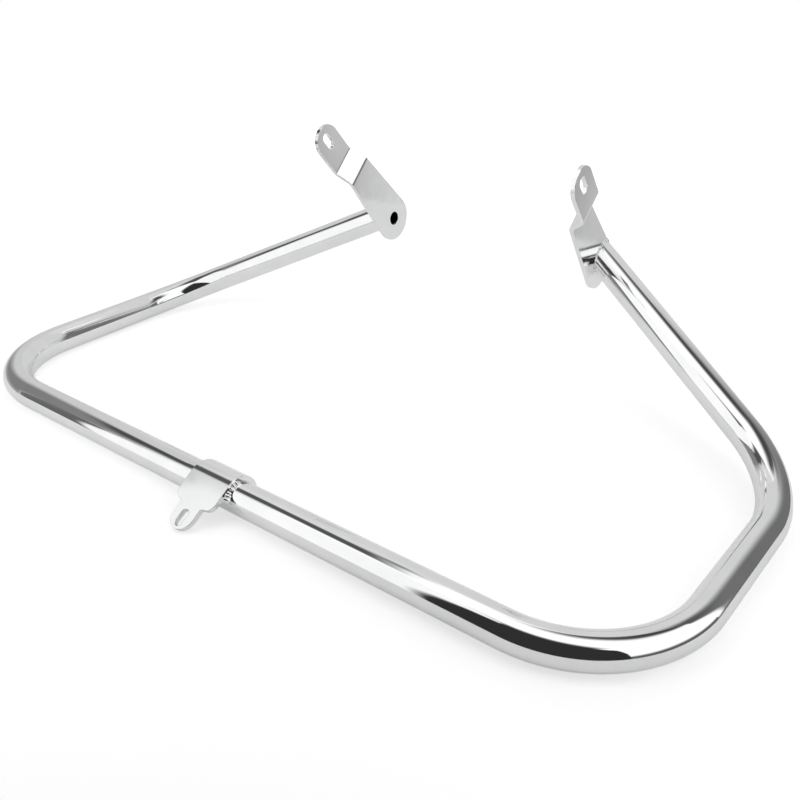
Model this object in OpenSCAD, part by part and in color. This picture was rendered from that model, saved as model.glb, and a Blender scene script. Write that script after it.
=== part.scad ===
// Motorcycle crash bar (engine guard): one bent steel tube that loops
// round the front of the engine, two mirrored upper bracket plates that
// close the tube's open ends, and a lower bracket that saddles the
// middle of the straight bar. Every joint carries its weld bead.
// It lies flat on its loop, straight bar to the front (-Y), and the
// arms climb backwards to the upper brackets. Lengths are millimetres.

/* [Tube] */
// outside diameter of the tube
tube_d = 31.75; // [25:0.25:38]
// thickness of the tube's wall
tube_wall = 2; // [1.2:0.1:4]
// centre line radius of the four bends
bend_r = 114; // [90:1:130]
// middle of the bar to each lower corner of the centre line
lower_half = 411; // [360:1:450]
// middle of the guard to each upper corner of the centre line
upper_half = 427; // [380:1:460]
// straight bar to the upper corners, along the loop
side_len = 312; // [290:1:360]
// upper corners to the bracket plates, further along the loop
arm_reach = 132; // [100:1:160]
// how far the arms climb above the loop to the bracket plates
arm_rise = 131; // [100:1:160]

/* [Upper brackets] */
// middle of the guard to the middle of each plate's thickness
plate_x = 146; // [110:0.5:180]
// thickness of the bracket steel, upper and lower
plate_t = 5; // [3:0.5:8]
// radius of the plate's round end that closes the tube
plate_r = 27; // [27:0.5:34]
// radius of the vent hole into the tube
vent_r = 8; // [3:0.5:8]
// vent hole's distance from the tube's centre line, across the plate
vent_off = 7.6; // [0:0.1:7.6]
// vent hole's distance from the tube's centre line, down the plate
vent_drop = 1.5; // [0:0.1:3]
// slope of the plate from the level, leaning back over the loop
plate_tilt = 46.5; // [35:0.5:60]
// centre of the vent hole to the centre of the mounting slot
plate_len = 143; // [130:1:170]
// centre of the vent hole to the start of the double bend
plate_flat = 91; // [60:1:98]
// how far the double bend sets the tab outwards
tab_out = 15.5; // [8:0.5:22]
// angle of the double bend
tab_bend = 50; // [40:1:60]
// half the width of the tab, and the radius of its round end
tab_r = 18; // [15:0.5:22]
// width of the upper mounting slots
slot_w = 10; // [6:0.5:13]
// length of the upper mounting slots, end to end
slot_len = 20.5; // [16:0.5:26]

/* [Lower bracket] */
// width of the saddle along the bar
saddle_w = 48; // [40:1:70]
// how far the saddle wraps behind the top of the bar, degrees
saddle_wrap = 85; // [45:1:110]
// downward slope of the lower bracket's blade, degrees
blade_tilt = 32; // [15:1:40]
// length of the wide part of the blade
blade_len = 28; // [22:0.5:31]
// start of the blade to the centre of the tip's round end
blade_reach = 41; // [35:0.5:42]
// width of the narrow tip of the blade
tip_w = 25.5; // [20:0.5:30]
// centre of the slot beyond the centre of the tip's round end
slot_beyond = 1.5; // [0:0.5:1.5]
// width of the lower mounting slot
low_slot_w = 8; // [6:0.5:10]
// length of the lower mounting slot, end to end
low_slot_len = 17; // [11:0.5:17]

/* [Welds] */
// leg length of the weld beads round the tube's ends
weld_leg = 3; // [2:0.1:4]
// leg length of the weld beads beside the saddle
saddle_leg = 4.6; // [3:0.1:5]
// height of the ripples on the beads, as a share of the leg
weld_ripple = 0.16; // [0:0.02:0.3]

/* [Hidden] */
$fn = 72;
steel = [0.80, 0.81, 0.83];
bead = [0.66, 0.67, 0.69];
tube_r = tube_d / 2;
// The bends are a hair thicker than the straights, whose ends run a
// little way into them, so that all the lengths join into one tube.
lip = 0.05;
join = 0.5;
bar_z = tube_r + lip;

// Sides of the loop: from each lower corner to each upper corner.
side_x = upper_half - lower_half;
side_turn = atan2(side_len, side_x);
side_run = norm([side_x, side_len]);
low_tan = bend_r * tan(side_turn / 2);

// Arms: from each upper corner to the point where the tube's centre
// line meets the outer face of its plate.
face_x = plate_x + plate_t / 2;
arm_end = [face_x, side_len + arm_reach, bar_z + arm_rise];
arm = arm_end - [upper_half, side_len, bar_z];
arm_dir = arm / norm(arm);
// The same direction seen along the side of the loop.
arm_fwd = arm_dir[0] * cos(side_turn) + arm_dir[1] * sin(side_turn);
arm_in = -arm_dir[0] * sin(side_turn) + arm_dir[1] * cos(side_turn);
arm_roll = atan2(arm_dir[2], arm_in);
arm_turn = acos(arm_fwd);
up_tan = bend_r * tan(arm_turn / 2);

// Upper plates: along runs up the plate, across runs over its width.
along = [0, -cos(plate_tilt), sin(plate_tilt)];
across = [0, -sin(plate_tilt), -cos(plate_tilt)];
vent_at = [plate_x, arm_end[1], arm_end[2]] + vent_off * across - vent_drop * along;
fold_r = 1.5 * plate_t;
fold_x = fold_r * (1 - cos(tab_bend));
fold_run = (tab_out - 2 * fold_x) / sin(tab_bend);
fold_len = 2 * fold_r * sin(tab_bend) + fold_run * cos(tab_bend);
tab_at = plate_flat + fold_len;

// Lower blade: its tip stays clear of the ground below the bar.
blade_end = blade_reach + tip_w / 2;
blade_fit = asin((tube_r * (1 + cos(blade_tilt)) - 0.6) / blade_end);
blade_a = min(blade_tilt, blade_fit);
root_r = 3;
corner_r = (saddle_w - tip_w) / 2 - root_r;

// The finished guard is centred over the ground in both directions.
front_y = -(tube_r + plate_t) * sin(blade_a) - blade_end * cos(blade_a);
back_y = vent_at[1] + plate_r;
mid_y = (front_y + back_y) / 2;

// Cross section of the tube: its wall, as a ring.
module wall_ring(extra = 0) {
    $fn = 36;
    difference() {
        circle(tube_r + extra);
        circle(tube_r - tube_wall - extra);
    }
}

// Straight length of tube along +X, from the origin.
module straight(length) {
    translate([-join, 0, 0])
        rotate([90, 0, 90])
            linear_extrude(height = length + 2 * join)
                wall_ring();
}

// Bend of the tube in the XY plane, from straight along +X to the
// left, with the corner of its centre line on the origin.
module bend(turn) {
    translate([-bend_r * tan(turn / 2), bend_r, 0])
        rotate([0, 0, -90])
            rotate_extrude(angle = turn)
                translate([bend_r, 0])
                    wall_ring(lip);
}

// Right half of the loop beyond the straight bar: lower bend, side,
// upper bend and arm, each in the direction the one before it leaves.
module half_loop() {
    translate([lower_half, 0, 0]) {
        bend(side_turn);
        rotate([0, 0, side_turn]) {
            translate([low_tan, 0, 0])
                straight(side_run - low_tan - up_tan);
            translate([side_run, 0, 0])
                rotate([arm_roll, 0, 0]) {
                    bend(arm_turn);
                    rotate([0, 0, arm_turn])
                        translate([up_tan, 0, 0])
                            straight(norm(arm) - up_tan + 20);
                }
        }
    }
}

// One continuous tube, cut off flat where it meets the two plates.
module guard_tube() {
    color(steel)
        translate([0, -mid_y, bar_z])
            difference() {
                union() {
                    translate([low_tan - lower_half, 0, 0])
                        straight(2 * (lower_half - low_tan));
                    half_loop();
                    mirror([1, 0, 0])
                        half_loop();
                }
                translate([-face_x, arm_end[1] - 60, arm_rise - 60])
                    cube([2 * face_x, 120, 120]);
            }
}

// Outline of an upper plate as a tall block, along X: a round end that
// tapers to the tab, which is round at its tip.
module plate_block(height) {
    cylinder(h = height, r = plate_r);
    linear_extrude(height = height)
        polygon([
            [0, plate_r],
            [tab_at, tab_r],
            [plate_len, tab_r],
            [plate_len, -tab_r],
            [tab_at, -tab_r],
            [0, -plate_r]
        ]);
    translate([plate_len, 0, 0])
        cylinder(h = height, r = tab_r);
}

// Long hole with round ends, centred at a distance along X.
module slot_outline(length, width, at) {
    flat = length - width;
    translate([at - flat / 2, -width / 2])
        square([flat, width]);
    for (s = [-1, 1])
        translate([at + s * flat / 2, 0])
            circle(width / 2);
}

// Side view of an upper plate: the middle line of the steel goes flat,
// round one fold, up a slope and round the other fold to the tab.
fold_steps = 12;
fold_turns = [for (k = [0 : fold_steps]) tab_bend * k / fold_steps];

function fold_side(off) = concat(
    [[-plate_r - 5, off]],
    [for (a = fold_turns)
        [plate_flat + (fold_r - off) * sin(a), fold_r - (fold_r - off) * cos(a)]],
    [for (k = [fold_steps : -1 : 0])
        let (a = fold_turns[k], q = fold_r + off)
        [tab_at - q * sin(a), tab_out - fold_r + q * cos(a)]],
    [[plate_len + tab_r + 5, tab_out + off]]
);

module plate_side() {
    upper = fold_side(plate_t / 2);
    lower = fold_side(-plate_t / 2);
    polygon(concat(lower, [for (k = [len(upper) - 1 : -1 : 0]) upper[k]]));
}

// Right hand upper plate: a folded strap cut to its outline, with the
// vent hole in its round end and the slot in its tab.
module upper_bracket() {
    translate([0, -mid_y, 0])
        translate(vent_at)
            rotate([-90 - plate_tilt, 0, 0])
                rotate([0, 90, 0])
                    difference() {
                        intersection() {
                            translate([0, plate_r + 5, 0])
                                rotate([90, 0, 0])
                                    linear_extrude(height = 2 * plate_r + 10)
                                        plate_side();
                            translate([0, 0, -20])
                                plate_block(80);
                        }
                        translate([0, 0, -plate_t])
                            cylinder(h = 2 * plate_t, r = vent_r);
                        translate([0, 0, tab_out - plate_t])
                            linear_extrude(height = 2 * plate_t)
                                slot_outline(slot_len, slot_w, plate_len);
                    }
}

module right_upper_bracket() {
    color(steel)
        upper_bracket();
}

module left_upper_bracket() {
    color(steel)
        mirror([1, 0, 0])
            upper_bracket();
}

// Outline of the blade, along X: wide and round cornered, then a
// narrow round tip round its slot, with small fillets at the step.
module blade_outline() {
    half = saddle_w / 2;
    tip = tip_w / 2;
    difference() {
        union() {
            translate([-60, -half])
                square([60 + blade_len - corner_r, saddle_w]);
            translate([0, -half + corner_r])
                square([blade_len, saddle_w - 2 * corner_r]);
            for (s = [-1, 1])
                translate([blade_len - corner_r, s * (half - corner_r)])
                    circle(corner_r);
            translate([0, -tip])
                square([blade_reach, tip_w]);
            translate([blade_reach, 0])
                circle(tip);
            for (s = [-1, 1])
                translate([blade_len, s * tip - (s < 0 ? root_r : 0)])
                    difference() {
                        square(root_r);
                        translate([root_r, s > 0 ? root_r : 0])
                            circle(root_r);
                    }
        }
        slot_outline(low_slot_len, low_slot_w, blade_reach + slot_beyond);
    }
}

// Side view of the lower bracket with the bar's centre on the origin:
// the back of the saddle's arc, then the blade that leaves the bar at
// a tangent, to the left. The bar's own round is cut from it later.
module lower_side() {
    turns = 32;
    outer = tube_r + plate_t;
    seat = 0.3;
    start = 90 - saddle_wrap;
    sweep = saddle_wrap + blade_a;
    down = [-cos(blade_a), -sin(blade_a)];
    up = [-sin(blade_a), cos(blade_a)];
    polygon(concat(
        [[0, 0]],
        [for (k = [0 : turns])
            let (a = start + sweep * k / turns)
            outer * [cos(a), sin(a)]],
        [
            outer * up + (blade_end + 5) * down,
            tube_r * up + (blade_end + 5) * down,
            tube_r * up + seat * down,
            (tube_r - 1) * up + seat * down
        ]
    ));
}

// Lower bracket: a saddle bent round the bar that runs off the tube at
// a tangent into the flat blade.
module lower_bracket() {
    color(steel)
        translate([0, -mid_y, bar_z])
            difference() {
                intersection() {
                    translate([-saddle_w / 2, 0, 0])
                        rotate([90, 0, 90])
                            linear_extrude(height = saddle_w)
                                lower_side();
                    rotate([blade_a, 0, 0])
                        rotate([0, 0, -90])
                            translate([0, 0, -60])
                                linear_extrude(height = 120)
                                    blade_outline();
                }
                translate([-saddle_w, 0, 0])
                    rotate([0, 90, 0])
                        cylinder(h = 2 * saddle_w, r = tube_r);
            }
}

// Weld beads: each is a fillet of ripples swept along its joint. The
// first point of a ring is the joint's corner, the rest its crown.
steps = 108;
ripples = 27;
inner_r = tube_r / cos(180 / steps) + 0.005;
crown = [[1, 0], [0.92, 0.42], [0.66, 0.66], [0.42, 0.92], [0, 1]];

function swell(k) = 1 - weld_ripple * pow(sin(180 * ripples * k / steps), 2);

// Ring round the tube where it meets the plate's outer face.
tube_back = -arm_dir;
round_b = [0, tube_back[2], -tube_back[1]] / norm([tube_back[1], tube_back[2]]);
round_a = cross(round_b, tube_back);

function ring_normal(k) =
    cos(360 * k / steps) * round_a + sin(360 * k / steps) * round_b;
function ring_corner(k) =
    let (n = inner_r * ring_normal(k))
    arm_end + n - tube_back * n[0] / tube_back[0];
function ring_out(k) =
    let (n = ring_normal(k))
    [0, n[1], n[2]] / norm([n[1], n[2]]);
// Room on the plate between the joint and the plate's round edge.
function ring_room(k) =
    let (q = ring_corner(k) - vent_at, o = ring_out(k))
    let (r = plate_r - 0.4, b = q[1] * o[1] + q[2] * o[2])
    sqrt(max(0.01, b * b - q[1] * q[1] - q[2] * q[2] + r * r)) - b;
function ring_points(k) =
    let (leg = weld_leg * swell(k), foot = min(leg, max(0.6, ring_room(k))))
    concat(
        [ring_corner(k)],
        [for (c = crown)
            ring_corner(k) + foot * c[0] * ring_out(k) + leg * c[1] * tube_back]
    );

sides = len(crown) + 1;

// Skin between one ring of points and the next, as triangles.
function skin(k, next) = [
    for (j = [0 : sides - 1])
        let (a = k * sides + j, b = k * sides + (j + 1) % sides)
        let (c = next * sides + (j + 1) % sides, d = next * sides + j)
        each [[a, b, c], [a, c, d]]
];

module upper_weld() {
    translate([0, -mid_y, 0])
        polyhedron(
            points = [for (k = [0 : steps - 1]) each ring_points(k)],
            faces = [for (k = [0 : steps - 1]) each skin(k, (k + 1) % steps)],
            convexity = 6
        );
}

module right_upper_weld() {
    color(bead)
        upper_weld();
}

module left_upper_weld() {
    color(bead)
        mirror([1, 0, 0])
            upper_weld();
}

// Bead along one edge of the saddle, from the top of the bar down its
// front and a little way in under the edge of the blade.
edge_steps = 36;
edge_leg = min(saddle_leg, plate_t - 0.3);
edge_from = -6;
edge_to = blade_a + 34;
edge_step = (edge_to - edge_from) / edge_steps;
edge_r = tube_r / cos(edge_step / 2) + 0.005;

function edge_swell(k) =
    (1 - weld_ripple * pow(sin(180 * 6 * k / edge_steps), 2))
    * (k == 0 || k == edge_steps ? 0.55 : 1);
function edge_point(k, out, up) =
    let (a = edge_from + k * edge_step, q = edge_r + up)
    [saddle_w / 2 + out, -q * sin(a), bar_z + q * cos(a)];
function edge_points(k) = concat(
    [edge_point(k, 0, 0)],
    [for (c = crown)
        edge_point(k, edge_leg * edge_swell(k) * c[0], edge_leg * edge_swell(k) * c[1])]
);

module saddle_weld() {
    last = edge_steps * sides;
    translate([0, -mid_y, 0])
        polyhedron(
            points = [for (k = [0 : edge_steps]) each edge_points(k)],
            faces = concat(
                [for (k = [0 : edge_steps - 1]) each skin(k, k + 1)],
                [[for (j = [sides - 1 : -1 : 0]) j]],
                [[for (j = [0 : sides - 1]) last + j]]
            ),
            convexity = 6
        );
}

module lower_right_weld() {
    color(bead)
        saddle_weld();
}

module lower_left_weld() {
    color(bead)
        mirror([1, 0, 0])
            saddle_weld();
}

guard_tube();
left_upper_bracket();
right_upper_bracket();
lower_bracket();
left_upper_weld();
right_upper_weld();
lower_left_weld();
lower_right_weld();
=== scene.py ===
import math

import bmesh
import bpy
from mathutils import Matrix, Vector


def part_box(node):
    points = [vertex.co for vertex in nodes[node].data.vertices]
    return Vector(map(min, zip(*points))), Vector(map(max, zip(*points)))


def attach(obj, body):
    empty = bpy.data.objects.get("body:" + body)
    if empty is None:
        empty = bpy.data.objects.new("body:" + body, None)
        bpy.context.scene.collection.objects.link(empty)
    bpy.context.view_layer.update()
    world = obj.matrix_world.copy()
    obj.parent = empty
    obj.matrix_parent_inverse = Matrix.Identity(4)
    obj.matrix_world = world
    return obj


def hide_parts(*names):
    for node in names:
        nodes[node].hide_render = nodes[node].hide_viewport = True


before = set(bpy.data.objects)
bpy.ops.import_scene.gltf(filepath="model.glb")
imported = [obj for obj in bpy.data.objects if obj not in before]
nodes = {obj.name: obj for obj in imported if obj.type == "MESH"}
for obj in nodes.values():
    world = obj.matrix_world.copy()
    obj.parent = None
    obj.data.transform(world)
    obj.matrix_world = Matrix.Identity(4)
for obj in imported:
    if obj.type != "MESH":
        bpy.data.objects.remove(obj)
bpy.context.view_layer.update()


# Camera: it stands above the right front corner of the guard and looks
# down across it, as in the photograph. The shift crops the frame as the
# photograph is cropped.
image_size = 800
focal_pixels = 775.56
crop_right, crop_down = -37.7, 92.6
sensor_width = 36.0
nearest_seen, farthest_seen = 0.01, 50
camera_place = Vector((0.49672, -0.57098, 0.42049))
image_right = Vector((0.81292, 0.58213, 0.01682))
image_down = Vector((0.34243, -0.45443, -0.82234))
look = Vector((-0.47106, 0.67426, -0.56875))

lens = bpy.data.cameras.new("camera")
lens.sensor_width = sensor_width
lens.lens = sensor_width * focal_pixels / image_size
lens.shift_x = crop_right / image_size
lens.shift_y = crop_down / image_size
lens.clip_start = nearest_seen
lens.clip_end = farthest_seen
camera = bpy.data.objects.new("camera", lens)
turn = Matrix((image_right, -image_down, -look)).transposed().to_4x4()
camera.matrix_world = Matrix.Translation(camera_place) @ turn
scene = bpy.context.scene
scene.collection.objects.link(camera)
scene.camera = camera
scene.view_settings.view_transform = "Standard"


# Guard tube: one length of 31.75 mm steel tube with a 2 mm wall, bent four times
# on a 114 mm former: arm, side, front bar, side and arm. Its ends are cut on the
# slant, flush with the plates, and it is chrome plated once the brackets are on.
tube_radius = 0.015875
tube_wall = 0.002
bend_radius = 0.114
bar_half = 0.411
shoulder_half = 0.427
side_length = 0.312
arm_reach = 0.132
arm_rise = 0.131
tube_sides = 96
bend_steps = 40
tube_edge_angle = math.radians(40)
end_slack = 0.0005

# The rounder tube lies a hair above the solid one's lowest point, so that it
# stays in the solid's box.
hair_gap = 0.00005
bar_y = -0.204938
bar_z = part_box("guard_tube")[0][2] + tube_radius + hair_gap
plate_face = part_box("right_upper_weld")[0][0]
front_corner = Vector((bar_half, bar_y, bar_z))
shoulder = Vector((shoulder_half, bar_y + side_length, bar_z))
arm_end = Vector((plate_face, shoulder.y + arm_reach, bar_z + arm_rise))
arm_way = (arm_end - shoulder).normalized()


def mirrored(point):
    return Vector((-point.x, point.y, point.z))


def new_material(name):
    material = bpy.data.materials.new(name)
    material.use_nodes = True
    tree = material.node_tree
    tree.nodes.clear()
    return material, tree, tree.nodes.new("ShaderNodeOutputMaterial")


# A node with its settings. A name that isn't one of the node's own
# settings is one of its sockets.
def put(tree, kind, **values):
    made = tree.nodes.new(kind)
    for key, value in values.items():
        if hasattr(made, key):
            setattr(made, key, value)
        else:
            made.inputs[key.replace("_", " ")].default_value = value
    return made


# Chrome plate: the reflections bend a little over the slow waves that
# polishing leaves. A thin haze and fine buffing marks vary its gloss.
haze_scale = 24.0
mark_scale = 1400.0
haze_least, haze_most = 0.3, 0.7
clear_share, dull_share = 0.6, 1.5
cool_tint = (0.86, 0.865, 0.875, 1)
pale_tint = (0.93, 0.93, 0.93, 1)


def chrome(name, gloss, wave, wave_scale, grain):
    material, tree, out = new_material(name)
    link = tree.links.new
    coords = put(tree, "ShaderNodeTexCoord").outputs["Object"]
    waves = put(tree, "ShaderNodeTexNoise", Scale=wave_scale, Detail=2.0, Roughness=0.45)
    haze = put(tree, "ShaderNodeTexNoise", Scale=haze_scale, Detail=4.0, Roughness=0.6)
    marks = put(tree, "ShaderNodeTexNoise", Scale=mark_scale, Detail=2.0, Roughness=0.7)
    for noise in (waves, haze, marks):
        link(coords, noise.inputs["Vector"])
    tint = put(tree, "ShaderNodeValToRGB")
    ends = ((haze_least, cool_tint), (haze_most, pale_tint))
    for stop, (place, color) in zip(tint.color_ramp.elements, ends):
        stop.position = place
        stop.color = color
    link(haze.outputs["Fac"], tint.inputs["Fac"])
    rough = put(tree, "ShaderNodeMapRange", From_Min=haze_least, From_Max=haze_most)
    rough.inputs["To Min"].default_value = gloss * clear_share
    rough.inputs["To Max"].default_value = gloss * dull_share
    link(haze.outputs["Fac"], rough.inputs["Value"])
    fine = put(tree, "ShaderNodeBump", Strength=1.0, Distance=grain)
    slow = put(tree, "ShaderNodeBump", Strength=1.0, Distance=wave)
    link(marks.outputs["Fac"], fine.inputs["Height"])
    link(waves.outputs["Fac"], slow.inputs["Height"])
    link(fine.outputs["Normal"], slow.inputs["Normal"])
    metal = put(tree, "ShaderNodeBsdfPrincipled", Metallic=1.0)
    link(tint.outputs["Color"], metal.inputs["Base Color"])
    link(rough.outputs["Result"], metal.inputs["Roughness"])
    link(slow.outputs["Normal"], metal.inputs["Normal"])
    link(metal.outputs["BSDF"], out.inputs["Surface"])
    return material


# A Geometry Nodes tree with named inputs, given as name, kind, value.
def new_tree(name, *named):
    tree = bpy.data.node_groups.new(name, "GeometryNodeTree")
    face = tree.interface
    face.new_socket("Geometry", in_out="INPUT", socket_type="NodeSocketGeometry")
    face.new_socket("Geometry", in_out="OUTPUT", socket_type="NodeSocketGeometry")
    for label, kind, value in named:
        socket = face.new_socket(label, in_out="INPUT", socket_type="NodeSocket" + kind)
        socket.default_value = value
    return tree, tree.nodes.new("NodeGroupInput").outputs, tree.nodes.new("NodeGroupOutput").inputs


def new_object(name, mesh):
    made = bpy.data.objects.new(name, mesh)
    scene.collection.objects.link(made)
    return made


# Turns what a piece's modifiers make into its plain mesh, of one material.
def settle(piece, material):
    shape = piece.evaluated_get(bpy.context.evaluated_depsgraph_get())
    mesh = bpy.data.meshes.new_from_object(shape)
    piece.modifiers.clear()
    piece.data = mesh
    mesh.name = piece.name
    mesh.materials.clear()
    mesh.materials.append(material)
    return mesh


# Every made piece rides on the one body, and stands for its CAD nodes.
def fit(piece, slot, *cad_nodes):
    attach(piece, "root")
    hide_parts(*cad_nodes)


tube_chrome = chrome("tube_chrome", gloss=0.035, wave=0.0005, wave_scale=9.0, grain=0.000002)

tree, given, result = new_tree(
    "bent_tube",
    ("Tube Radius", "Float", tube_radius),
    ("Bend Radius", "Float", bend_radius),
    ("Bend Steps", "Int", bend_steps),
    ("Sides", "Int", tube_sides),
    ("Finish", "Material", tube_chrome),
)
route = put(tree, "GeometryNodeMeshToCurve")
bends = put(tree, "GeometryNodeFilletCurve", mode="POLY")
ring = put(tree, "GeometryNodeCurvePrimitiveCircle")
swept = put(tree, "GeometryNodeCurveToMesh")
smooth = put(tree, "GeometryNodeSetShadeSmooth")
real = put(tree, "GeometryNodeRealizeInstances")
finish = put(tree, "GeometryNodeSetMaterial")
for start, end in (
    (given["Geometry"], route.inputs["Mesh"]),
    (route.outputs["Curve"], bends.inputs["Curve"]),
    (given["Bend Radius"], bends.inputs["Radius"]),
    (given["Bend Steps"], bends.inputs["Count"]),
    (given["Sides"], ring.inputs["Resolution"]),
    (given["Tube Radius"], ring.inputs["Radius"]),
    (bends.outputs["Curve"], swept.inputs["Curve"]),
    (ring.outputs["Curve"], swept.inputs["Profile Curve"]),
    (swept.outputs["Mesh"], smooth.inputs["Geometry"]),
    (smooth.outputs["Geometry"], real.inputs["Geometry"]),
    (real.outputs["Geometry"], finish.inputs["Geometry"]),
    (given["Finish"], finish.inputs["Material"]),
    (finish.outputs["Geometry"], result["Geometry"]),
):
    tree.links.new(start, end)


# Puts a tree on a piece, with its inputs set by their identifiers.
def use_tree(piece, tree, **values):
    step = piece.modifiers.new("shape", "NODES")
    step.node_group = tree
    for item in tree.interface.items_tree:
        key = item.name.replace(" ", "_")
        if item.in_out == "INPUT" and key in values:
            step[item.identifier] = values[key]


corners = [arm_end, shoulder, front_corner]
corners += [mirrored(corner) for corner in reversed(corners)]
axis = bpy.data.meshes.new("tube_axis")
axis.from_pydata(corners, [(start, start + 1) for start in range(len(corners) - 1)], [])
tube = new_object("guard_tube_skin", axis)
use_tree(tube, tree, Tube_Radius=tube_radius, Bend_Radius=bend_radius)
thick = tube.modifiers.new("wall", "SOLIDIFY")
thick.thickness = tube_wall
thick.offset = -1
thick.use_even_offset = True
mesh = settle(tube, tube_chrome)

# The end rings slide along the arms until they lie on the plates.
for vertex in mesh.vertices:
    for end, way in ((arm_end, arm_way), (mirrored(arm_end), mirrored(arm_way))):
        away = vertex.co - end
        if abs(away.dot(way)) < end_slack and away.length < 2 * tube_radius:
            vertex.co += way * ((end.x - vertex.co.x) / way.x)
mesh.set_sharp_from_angle(angle=tube_edge_angle)
fit(tube, "chrome", "guard_tube")


# Upper brackets: one at the end of each arm, cut from 5 mm plate and bent twice,
# with a slot for the frame bolt and a vent hole that lets the plating bath drain.
# Their edges are broken with a file before they are welded on and plated.
edge_break = 0.0005
edge_steps = 2
merge_distance = 0.00001
flat_angle = math.radians(1)
edge_angle = math.radians(35)
plate_chrome = chrome("plate_chrome", gloss=0.09, wave=0.0003, wave_scale=14.0, grain=0.000004)


# A plate with broken edges, made from the CAD node's own faces.
def filed_plate(name):
    mesh = nodes[name].data.copy()
    shape = bmesh.new()
    shape.from_mesh(mesh)
    bmesh.ops.remove_doubles(shape, verts=shape.verts, dist=merge_distance)
    bmesh.ops.dissolve_limit(shape, angle_limit=flat_angle, verts=shape.verts, edges=shape.edges)
    shape.to_mesh(mesh)
    shape.free()
    mesh.shade_smooth()
    mesh.set_sharp_from_angle(angle=edge_angle)
    plate = new_object(name + "_filed", mesh)
    filed = plate.modifiers.new("edges", "BEVEL")
    filed.width = edge_break
    filed.segments = edge_steps
    filed.limit_method = "ANGLE"
    filed.angle_limit = edge_angle
    filed.use_clamp_overlap = True
    filed.harden_normals = True
    settle(plate, plate_chrome)
    fit(plate, "chrome", name)


for side in ("left", "right"):
    filed_plate(side + "_upper_bracket")


# Lower bracket: a strip of the same plate pressed round the front bar
# as a saddle, with a blade that runs down and forwards to its slotted
# tip. It is welded along both edges of the saddle.
filed_plate("lower_bracket")


# Weld beads: a ring where each arm meets its plate, and a short run
# down both edges of the saddle. They were laid by hand in small
# overlapping ripples, heaped where the welder stopped, and plated over.
ring_leg = 0.003
ring_pitch = 0.0022
ring_points = 144
ring_unevenness, ring_wander = 0.2, 0.00025
saddle_leg = 0.0046
saddle_pitch = 0.0031
saddle_points = 48
saddle_unevenness, saddle_wander = 0.35, 0.0008
saddle_from, saddle_to = math.radians(-4), math.radians(70)

# The ring's size in legs: low all round, and heaped at two angles. It
# stands a little proud of the corner, and keeps inside the plate's round
# end, which has the vent hole in its middle.
ring_low, ring_proud = 0.78, 0.12
heap_rise = 0.5
top_heap, top_heap_width = math.radians(35), 0.5
low_heap, low_heap_width = math.radians(185), 0.6
plate_radius = 0.027
plate_margin = 0.0004
vent_offset = Vector((0, -0.0076, -0.0015))

# The saddle's run in legs: it swells three times on its way.
saddle_low, saddle_proud = 0.85, 0.1
swell_rise, swell_rate = 0.25, 7

# A ripple's half sizes in legs, along, across and out of the joint.
ripple_half_sizes = (0.44, 0.80, 0.46)
ripple_lean = 0.55
bead_voxel = 0.00028
melt_share = 0.5

weld_chrome = chrome("weld_chrome", gloss=0.10, wave=0.0004, wave_scale=160.0, grain=0.00001)

# The ripples of a bead: one at each pitch of the joint, a little off it,
# leaning along it, and each of a slightly different size.
tree, given, result = new_tree(
    "weld_ripples",
    ("Leg", "Float", ring_leg),
    ("Pitch", "Float", ring_pitch),
    ("Unevenness", "Float", ring_unevenness),
    ("Wander", "Float", ring_wander),
    ("Lean", "Float", ripple_lean),
    ("Seed", "Int", 0),
    ("Finish", "Material", weld_chrome),
)
route = put(tree, "GeometryNodeMeshToCurve")
paced = put(tree, "GeometryNodeResampleCurve", mode="LENGTH")
ripple = put(tree, "GeometryNodeMeshIcoSphere", Radius=1.0, Subdivisions=3)
any_way = put(tree, "FunctionNodeRandomValue", data_type="FLOAT_VECTOR")
any_way.inputs[0].default_value = (-1, -1, -1)
any_way.inputs[1].default_value = (1, 1, 1)
drift = put(tree, "ShaderNodeVectorMath", operation="SCALE")
moved = put(tree, "GeometryNodeSetPosition")
along = put(tree, "GeometryNodeInputTangent")
outward = put(tree, "GeometryNodeInputNamedAttribute", data_type="FLOAT_VECTOR", Name="outward")
size = put(tree, "GeometryNodeInputNamedAttribute", data_type="FLOAT", Name="size")
tipped = put(tree, "ShaderNodeVectorMath", operation="SCALE")
top = put(tree, "ShaderNodeVectorMath", operation="ADD")
turned = put(tree, "FunctionNodeAxesToRotation", primary_axis="Z", secondary_axis="X")
least = put(tree, "ShaderNodeMath", operation="SUBTRACT")
most = put(tree, "ShaderNodeMath", operation="ADD")
chance = put(tree, "FunctionNodeRandomValue", data_type="FLOAT")
sized = put(tree, "ShaderNodeMath", operation="MULTIPLY")
legged = put(tree, "ShaderNodeMath", operation="MULTIPLY")
scaled = put(tree, "ShaderNodeVectorMath", operation="SCALE")
placed = put(tree, "GeometryNodeInstanceOnPoints")
real = put(tree, "GeometryNodeRealizeInstances")
finish = put(tree, "GeometryNodeSetMaterial")
least.inputs[0].default_value = 1.0
most.inputs[0].default_value = 1.0
scaled.inputs[0].default_value = ripple_half_sizes
random_least, random_most = chance.inputs[2], chance.inputs[3]
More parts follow.
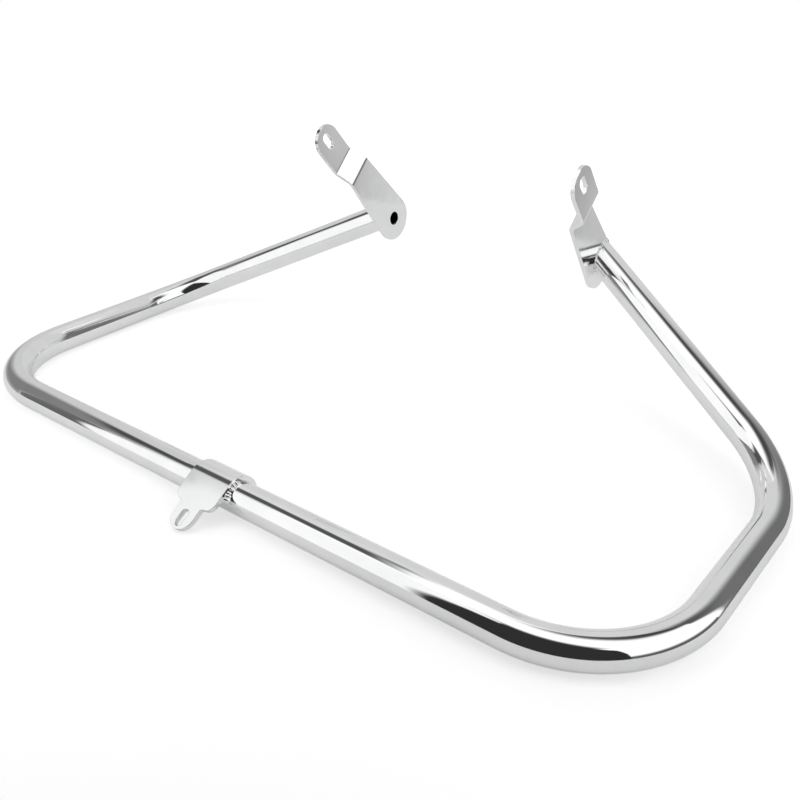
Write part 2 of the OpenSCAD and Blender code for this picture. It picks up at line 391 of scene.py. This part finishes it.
for start, end in (
    (given["Geometry"], route.inputs["Mesh"]),
    (route.outputs["Curve"], paced.inputs["Curve"]),
    (given["Pitch"], paced.inputs["Length"]),
    (given["Seed"], any_way.inputs["Seed"]),
    (any_way.outputs[0], drift.inputs[0]),
    (given["Wander"], drift.inputs["Scale"]),
    (drift.outputs["Vector"], moved.inputs["Offset"]),
    (paced.outputs["Curve"], moved.inputs["Geometry"]),
    (moved.outputs["Geometry"], placed.inputs["Points"]),
    (ripple.outputs["Mesh"], placed.inputs["Instance"]),
    (along.outputs["Tangent"], tipped.inputs[0]),
    (given["Lean"], tipped.inputs["Scale"]),
    (outward.outputs["Attribute"], top.inputs[0]),
    (tipped.outputs["Vector"], top.inputs[1]),
    (top.outputs["Vector"], turned.inputs["Primary Axis"]),
    (along.outputs["Tangent"], turned.inputs["Secondary Axis"]),
    (turned.outputs["Rotation"], placed.inputs["Rotation"]),
    (given["Unevenness"], least.inputs[1]),
    (given["Unevenness"], most.inputs[1]),
    (least.outputs["Value"], random_least),
    (most.outputs["Value"], random_most),
    (given["Seed"], chance.inputs["Seed"]),
    (chance.outputs[1], sized.inputs[0]),
    (size.outputs["Attribute"], sized.inputs[1]),
    (sized.outputs["Value"], legged.inputs[0]),
    (given["Leg"], legged.inputs[1]),
    (legged.outputs["Value"], scaled.inputs["Scale"]),
    (scaled.outputs["Vector"], placed.inputs["Scale"]),
    (placed.outputs["Instances"], real.inputs["Geometry"]),
    (real.outputs["Geometry"], finish.inputs["Geometry"]),
    (given["Finish"], finish.inputs["Material"]),
    (finish.outputs["Geometry"], result["Geometry"]),
):
    tree.links.new(start, end)


# One bead along a joint. Each stop is a point by the joint's corner, the
# way out of the corner and the bead's size there.
def weld_bead(name, node, stops, closed, **values):
    count = len(stops)
    last = count if closed else count - 1
    pairs = [(start, (start + 1) % count) for start in range(last)]
    mesh = bpy.data.meshes.new(name)
    mesh.from_pydata([corner for corner, way, size in stops], pairs, [])
    mesh.attributes.new("outward", "FLOAT_VECTOR", "POINT")
    mesh.attributes.new("size", "FLOAT", "POINT")
    for place, (corner, way, size) in enumerate(stops):
        mesh.attributes["outward"].data[place].vector = way
        mesh.attributes["size"].data[place].value = size
    bead = new_object(name, mesh)
    use_tree(bead, bpy.data.node_groups["weld_ripples"], **values)
    fused = bead.modifiers.new("fused", "REMESH")
    fused.mode = "VOXEL"
    fused.voxel_size = bead_voxel
    melted = bead.modifiers.new("melted", "SMOOTH")
    melted.factor = melt_share
    melted.iterations = 1
    settle(bead, weld_chrome).shade_smooth()
    fit(bead, "weld", node)


# How far a heap of weld round a middle angle has risen at an angle, from
# 0 at its edges to 1.
def heap(angle, middle, width):
    away = abs((angle - middle + math.pi) % (2 * math.pi) - math.pi)
    return max(0.0, math.cos(min(away / width, 1.0) * math.pi / 2))


# The ring lies on the slanted cut of the tube. Its foot narrows where
# the plate's round end leaves less room than a leg.
def ring_stops():
    tube_way = -arm_way
    front_up = Vector((0, tube_way.z, -tube_way.y)).normalized()
    back_up = front_up.cross(tube_way)
    stops = []
    for point in range(ring_points):
        angle = 2 * math.pi * point / ring_points
        out = math.cos(angle) * back_up + math.sin(angle) * front_up
        spoke = tube_radius * out
        corner = arm_end + spoke - tube_way * (spoke.x / tube_way.x)
        foot = Vector((0, out.y, out.z)).normalized()
        reach = corner - (arm_end + vent_offset)
        reach.x = 0
        inward = reach.dot(foot)
        rim = plate_radius - plate_margin
        room = math.sqrt(inward ** 2 - reach.length_squared + rim ** 2) - inward
        top_part = heap_rise * heap(angle, top_heap, top_heap_width)
        low_part = heap_rise * heap(angle, low_heap, low_heap_width)
        size = min(ring_low + top_part + low_part, room / ring_leg)
        way = (foot + tube_way).normalized()
        stops.append((corner + way * ring_leg * ring_proud, way, size))
    return stops


# The run along the saddle goes from the top of the bar down its front.
def saddle_stops():
    stops = []
    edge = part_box("lower_bracket")[1].x
    for point in range(saddle_points):
        angle = saddle_from + (saddle_to - saddle_from) * point / (saddle_points - 1)
        out = Vector((0, -math.sin(angle), math.cos(angle)))
        corner = Vector((edge, bar_y, bar_z)) + tube_radius * out
        way = (out + Vector((1, 0, 0))).normalized()
        size = saddle_low + swell_rise * math.sin(swell_rate * angle) ** 2
        stops.append((corner + way * saddle_leg * saddle_proud, way, size))
    return stops


def mirrored_stops(stops):
    return [(mirrored(corner), mirrored(way), size) for corner, way, size in stops]


ring_run, saddle_run = ring_stops(), saddle_stops()
ring_inputs = dict(
    Leg=ring_leg, Pitch=ring_pitch, Unevenness=ring_unevenness, Wander=ring_wander,
)
saddle_inputs = dict(
    Leg=saddle_leg, Pitch=saddle_pitch, Unevenness=saddle_unevenness, Wander=saddle_wander,
)
for name, node, stops, seed in (
    ("right_upper_bead", "right_upper_weld", ring_run, 4),
    ("left_upper_bead", "left_upper_weld", mirrored_stops(ring_run), 9),
):
    weld_bead(name, node, stops, True, Seed=seed, **ring_inputs)
for name, node, stops, seed in (
    ("lower_right_bead", "lower_right_weld", saddle_run, 2),
    ("lower_left_bead", "lower_left_weld", mirrored_stops(saddle_run), 7),
):
    weld_bead(name, node, stops, False, Seed=seed, **saddle_inputs)


# Studio floor: matt white paper that reaches past the tent. The camera
# sees it lifted to white, the chrome less so, and it keeps the guard's
# shadow.
floor_half = 4.0
paper_lift = 0.52
gloss_share = 0.38
paper_dark = (0.80, 0.80, 0.80, 1)
paper_light = (0.83, 0.83, 0.83, 1)
fibre_scale = 3.0

paper, tree, out = new_material("studio_paper")
coords = put(tree, "ShaderNodeTexCoord").outputs["Object"]
fibre = put(tree, "ShaderNodeTexNoise", Scale=fibre_scale, Detail=2.0)
tint = put(tree, "ShaderNodeValToRGB")
tint.color_ramp.elements[0].color = paper_dark
tint.color_ramp.elements[1].color = paper_light
dull = put(tree, "ShaderNodeBsdfDiffuse")
lift = put(tree, "ShaderNodeEmission", Color=(paper_lift, paper_lift, paper_lift, 1))
total = put(tree, "ShaderNodeAddShader")


# One for a ray from the camera, and a share for one from gloss or glass.
def seen_rays(tree, share):
    path = put(tree, "ShaderNodeLightPath")
    bent = put(tree, "ShaderNodeMath", operation="MAXIMUM")
    part = put(tree, "ShaderNodeMath", operation="MULTIPLY")
    both = put(tree, "ShaderNodeMath", operation="MAXIMUM")
    part.inputs[1].default_value = share
    tree.links.new(path.outputs["Is Glossy Ray"], bent.inputs[0])
    tree.links.new(path.outputs["Is Transmission Ray"], bent.inputs[1])
    tree.links.new(bent.outputs["Value"], part.inputs[0])
    tree.links.new(path.outputs["Is Camera Ray"], both.inputs[0])
    tree.links.new(part.outputs["Value"], both.inputs[1])
    return both.outputs["Value"]


for start, end in (
    (coords, fibre.inputs["Vector"]),
    (fibre.outputs["Fac"], tint.inputs["Fac"]),
    (tint.outputs["Color"], dull.inputs["Color"]),
    (seen_rays(tree, gloss_share), lift.inputs["Strength"]),
    (dull.outputs["BSDF"], total.inputs[0]),
    (lift.outputs["Emission"], total.inputs[1]),
    (total.outputs["Shader"], out.inputs["Surface"]),
):
    tree.links.new(start, end)


def stage_sheet(name, corners, material, shown):
    mesh = bpy.data.meshes.new(name)
    mesh.from_pydata(corners, [], [(0, 1, 2, 3)])
    mesh.materials.append(material)
    sheet = new_object(name, mesh)
    sheet.visible_camera = shown


floor_signs = ((-1, -1), (1, -1), (1, 1), (-1, 1))
stage_sheet("floor", [(floor_half * x, floor_half * y, 0) for x, y in floor_signs], paper, True)


# Studio tent: four walls and a ceiling of lit white cloth round the
# guard. Dark cloths and gaps in them give the chrome its dark bands.
# The camera doesn't see the tent, so it never hides the guard.
left_x, right_x = -1.28, 1.49
front_y, back_y = -0.705, 0.735
ceiling_z = 1.24
ceiling_level, front_level, back_level = 1.15, 1.05, 0.7
left_level, right_level = 0.65, 1.15


# A cloth on a wall: its span along and up the wall, its brightness,
# the width of its soft edge, and how far it leans for each metre up.
def cloth(along, up, level, soft, lean=0.0):
    return dict(along=along, up=up, level=level, soft=soft, lean=lean)


# One on one side of an edge and nothing on the other, with a soft step.
def soft_edge(tree, place, edge, soft, rising):
    ramp = put(tree, "ShaderNodeMapRange", interpolation_type="SMOOTHSTEP")
    ramp.inputs["From Min"].default_value = edge - soft / 2
    ramp.inputs["From Max"].default_value = edge + soft / 2
    ramp.inputs["To Min"].default_value = 0 if rising else 1
    ramp.inputs["To Max"].default_value = 1 if rising else 0
    tree.links.new(place, ramp.inputs["Value"])
    return ramp.outputs["Result"]


# How far a cloth covers a place on its wall: its four soft edges multiplied.
def cloth_cover(tree, along, up, piece):
    slant = put(tree, "ShaderNodeMath", operation="MULTIPLY")
    slant.inputs[1].default_value = piece["lean"]
    tree.links.new(up, slant.inputs[0])
    place = put(tree, "ShaderNodeMath", operation="SUBTRACT")
    tree.links.new(along, place.inputs[0])
    tree.links.new(slant.outputs["Value"], place.inputs[1])
    cover = None
    for axis, (low, high) in ((place.outputs["Value"], piece["along"]), (up, piece["up"])):
        for edge, rising in ((low, True), (high, False)):
            inside = soft_edge(tree, axis, edge, piece["soft"], rising)
            if cover is None:
                cover = inside
                continue
            both = put(tree, "ShaderNodeMath", operation="MULTIPLY")
            tree.links.new(cover, both.inputs[0])
            tree.links.new(inside, both.inputs[1])
            cover = both.outputs["Value"]
    return cover


# A wall or the ceiling: its plain cloth's level, and what hangs before it.
def tent_wall(name, corners, axes, level, *cloths):
    material, tree, out = new_material(name)
    split = put(tree, "ShaderNodeSeparateXYZ")
    tree.links.new(put(tree, "ShaderNodeTexCoord").outputs["Object"], split.inputs["Vector"])
    along, up = (split.outputs[axis] for axis in axes)
    glow = put(tree, "ShaderNodeEmission")
    below = None
    for piece in cloths:
        mix = put(tree, "ShaderNodeMix", data_type="FLOAT")
        tree.links.new(cloth_cover(tree, along, up, piece), mix.inputs["Factor"])
        mix.inputs["A"].default_value = level
        mix.inputs["B"].default_value = piece["level"]
        if below is not None:
            tree.links.new(below, mix.inputs["A"])
        below = mix.outputs["Result"]
    tree.links.new(below, glow.inputs["Strength"])
    tree.links.new(glow.outputs["Emission"], out.inputs["Surface"])
    stage_sheet(name, corners, material, False)


plan = [(left_x, front_y), (right_x, front_y), (right_x, back_y), (left_x, back_y)]
left_front, right_front, right_back, left_back = [(x, y, 0) for x, y in plan]
top_corners = [(x, y, ceiling_z) for x, y in plan]
top_left_front, top_right_front, top_right_back, top_left_back = top_corners

grey_left = cloth(along=(-2.0, -0.55), up=(-0.7, 0.8), level=0.75, soft=0.15, lean=0.6)
left_gap = cloth(along=(-1.5, -0.45), up=(-0.5, 0.05), level=0.09, soft=0.2)
back_gap = cloth(along=(0.05, 0.6), up=(0.25, 0.9), level=0.06, soft=0.4, lean=0.25)
front_gap = cloth(along=(0.0, 1.2), up=(-0.9, -0.55), level=0.05, soft=0.25, lean=0.25)
middle_gap = cloth(along=(-0.2, 0.4), up=(0.35, 0.7), level=0.08, soft=0.35, lean=0.3)
right_gap = cloth(along=(0.2, 0.6), up=(0.5, 0.8), level=0.06, soft=0.3, lean=0.3)
gap_tail = cloth(along=(-0.55, -0.4), up=(0.0, 0.25), level=0.15, soft=0.2)
tent_wall(
    "tent_ceiling", top_corners, ("X", "Y"), ceiling_level,
    grey_left, left_gap, back_gap, front_gap, middle_gap, right_gap, gap_tail,
)

camera_gap = cloth(along=(0.0, 1.55), up=(-0.55, 1.25), level=0.03, soft=0.05, lean=-0.1)
stand = cloth(along=(-1.05, -0.8), up=(-0.1, 0.6), level=0.13, soft=0.05, lean=-0.4)
corner_gap = cloth(along=(-1.35, -1.1), up=(-0.1, 1.2), level=0.2, soft=0.35)
corner_lamp = cloth(along=(-2.0, -0.9), up=(0.85, 1.45), level=1.0, soft=0.05)
tent_wall(
    "tent_front", [left_front, right_front, top_right_front, top_left_front], ("X", "Z"),
    front_level, camera_gap, stand, corner_gap, corner_lamp,
)

door = cloth(along=(0.45, 1.9), up=(-0.8, 1.1), level=0.17, soft=0.5, lean=0.05)
door_head = cloth(along=(0.3, 0.95), up=(0.85, 1.5), level=0.1, soft=0.4, lean=0.1)
door_side = cloth(along=(1.3, 2.0), up=(0.15, 1.65), level=1.1, soft=0.2, lean=-0.2)
tent_wall(
    "tent_back", [left_back, right_back, top_right_back, top_left_back], ("X", "Z"),
    back_level, door, door_head, door_side,
)

left_opening = cloth(along=(-1.25, 0.15), up=(0.05, 1.05), level=0.23, soft=0.4, lean=-0.15)
left_slit = cloth(along=(-0.55, -0.05), up=(0.9, 1.5), level=0.08, soft=0.15)
tent_wall(
    "tent_left", [left_front, left_back, top_left_back, top_left_front], ("Y", "Z"),
    left_level, left_opening, left_slit,
)

dark_skirt = cloth(along=(-0.85, 1.35), up=(-0.05, 0.275), level=0.12, soft=0.2, lean=-0.3)
tent_wall(
    "tent_right", [right_front, right_back, top_right_back, top_right_front], ("Y", "Z"),
    right_level, dark_skirt,
)


# Room round the tent: white to the camera and to gloss, and bright enough
# for the floor outside the tent to be white too.
room_level = 1.2
room_color = (room_level, room_level, room_level, 1)

world = bpy.data.worlds.new("studio")
scene.world = world
world.use_nodes = True
tree = world.node_tree
tree.nodes.clear()
out = put(tree, "ShaderNodeOutputWorld")
white = put(tree, "ShaderNodeBackground", Color=(1, 1, 1, 1), Strength=1.0)
room = put(tree, "ShaderNodeBackground", Color=room_color, Strength=1.0)
pick = put(tree, "ShaderNodeMixShader")
tree.links.new(seen_rays(tree, 1.0), pick.inputs["Fac"])
tree.links.new(room.outputs["Background"], pick.inputs[1])
tree.links.new(white.outputs["Background"], pick.inputs[2])
tree.links.new(pick.outputs["Shader"], out.inputs["Surface"])
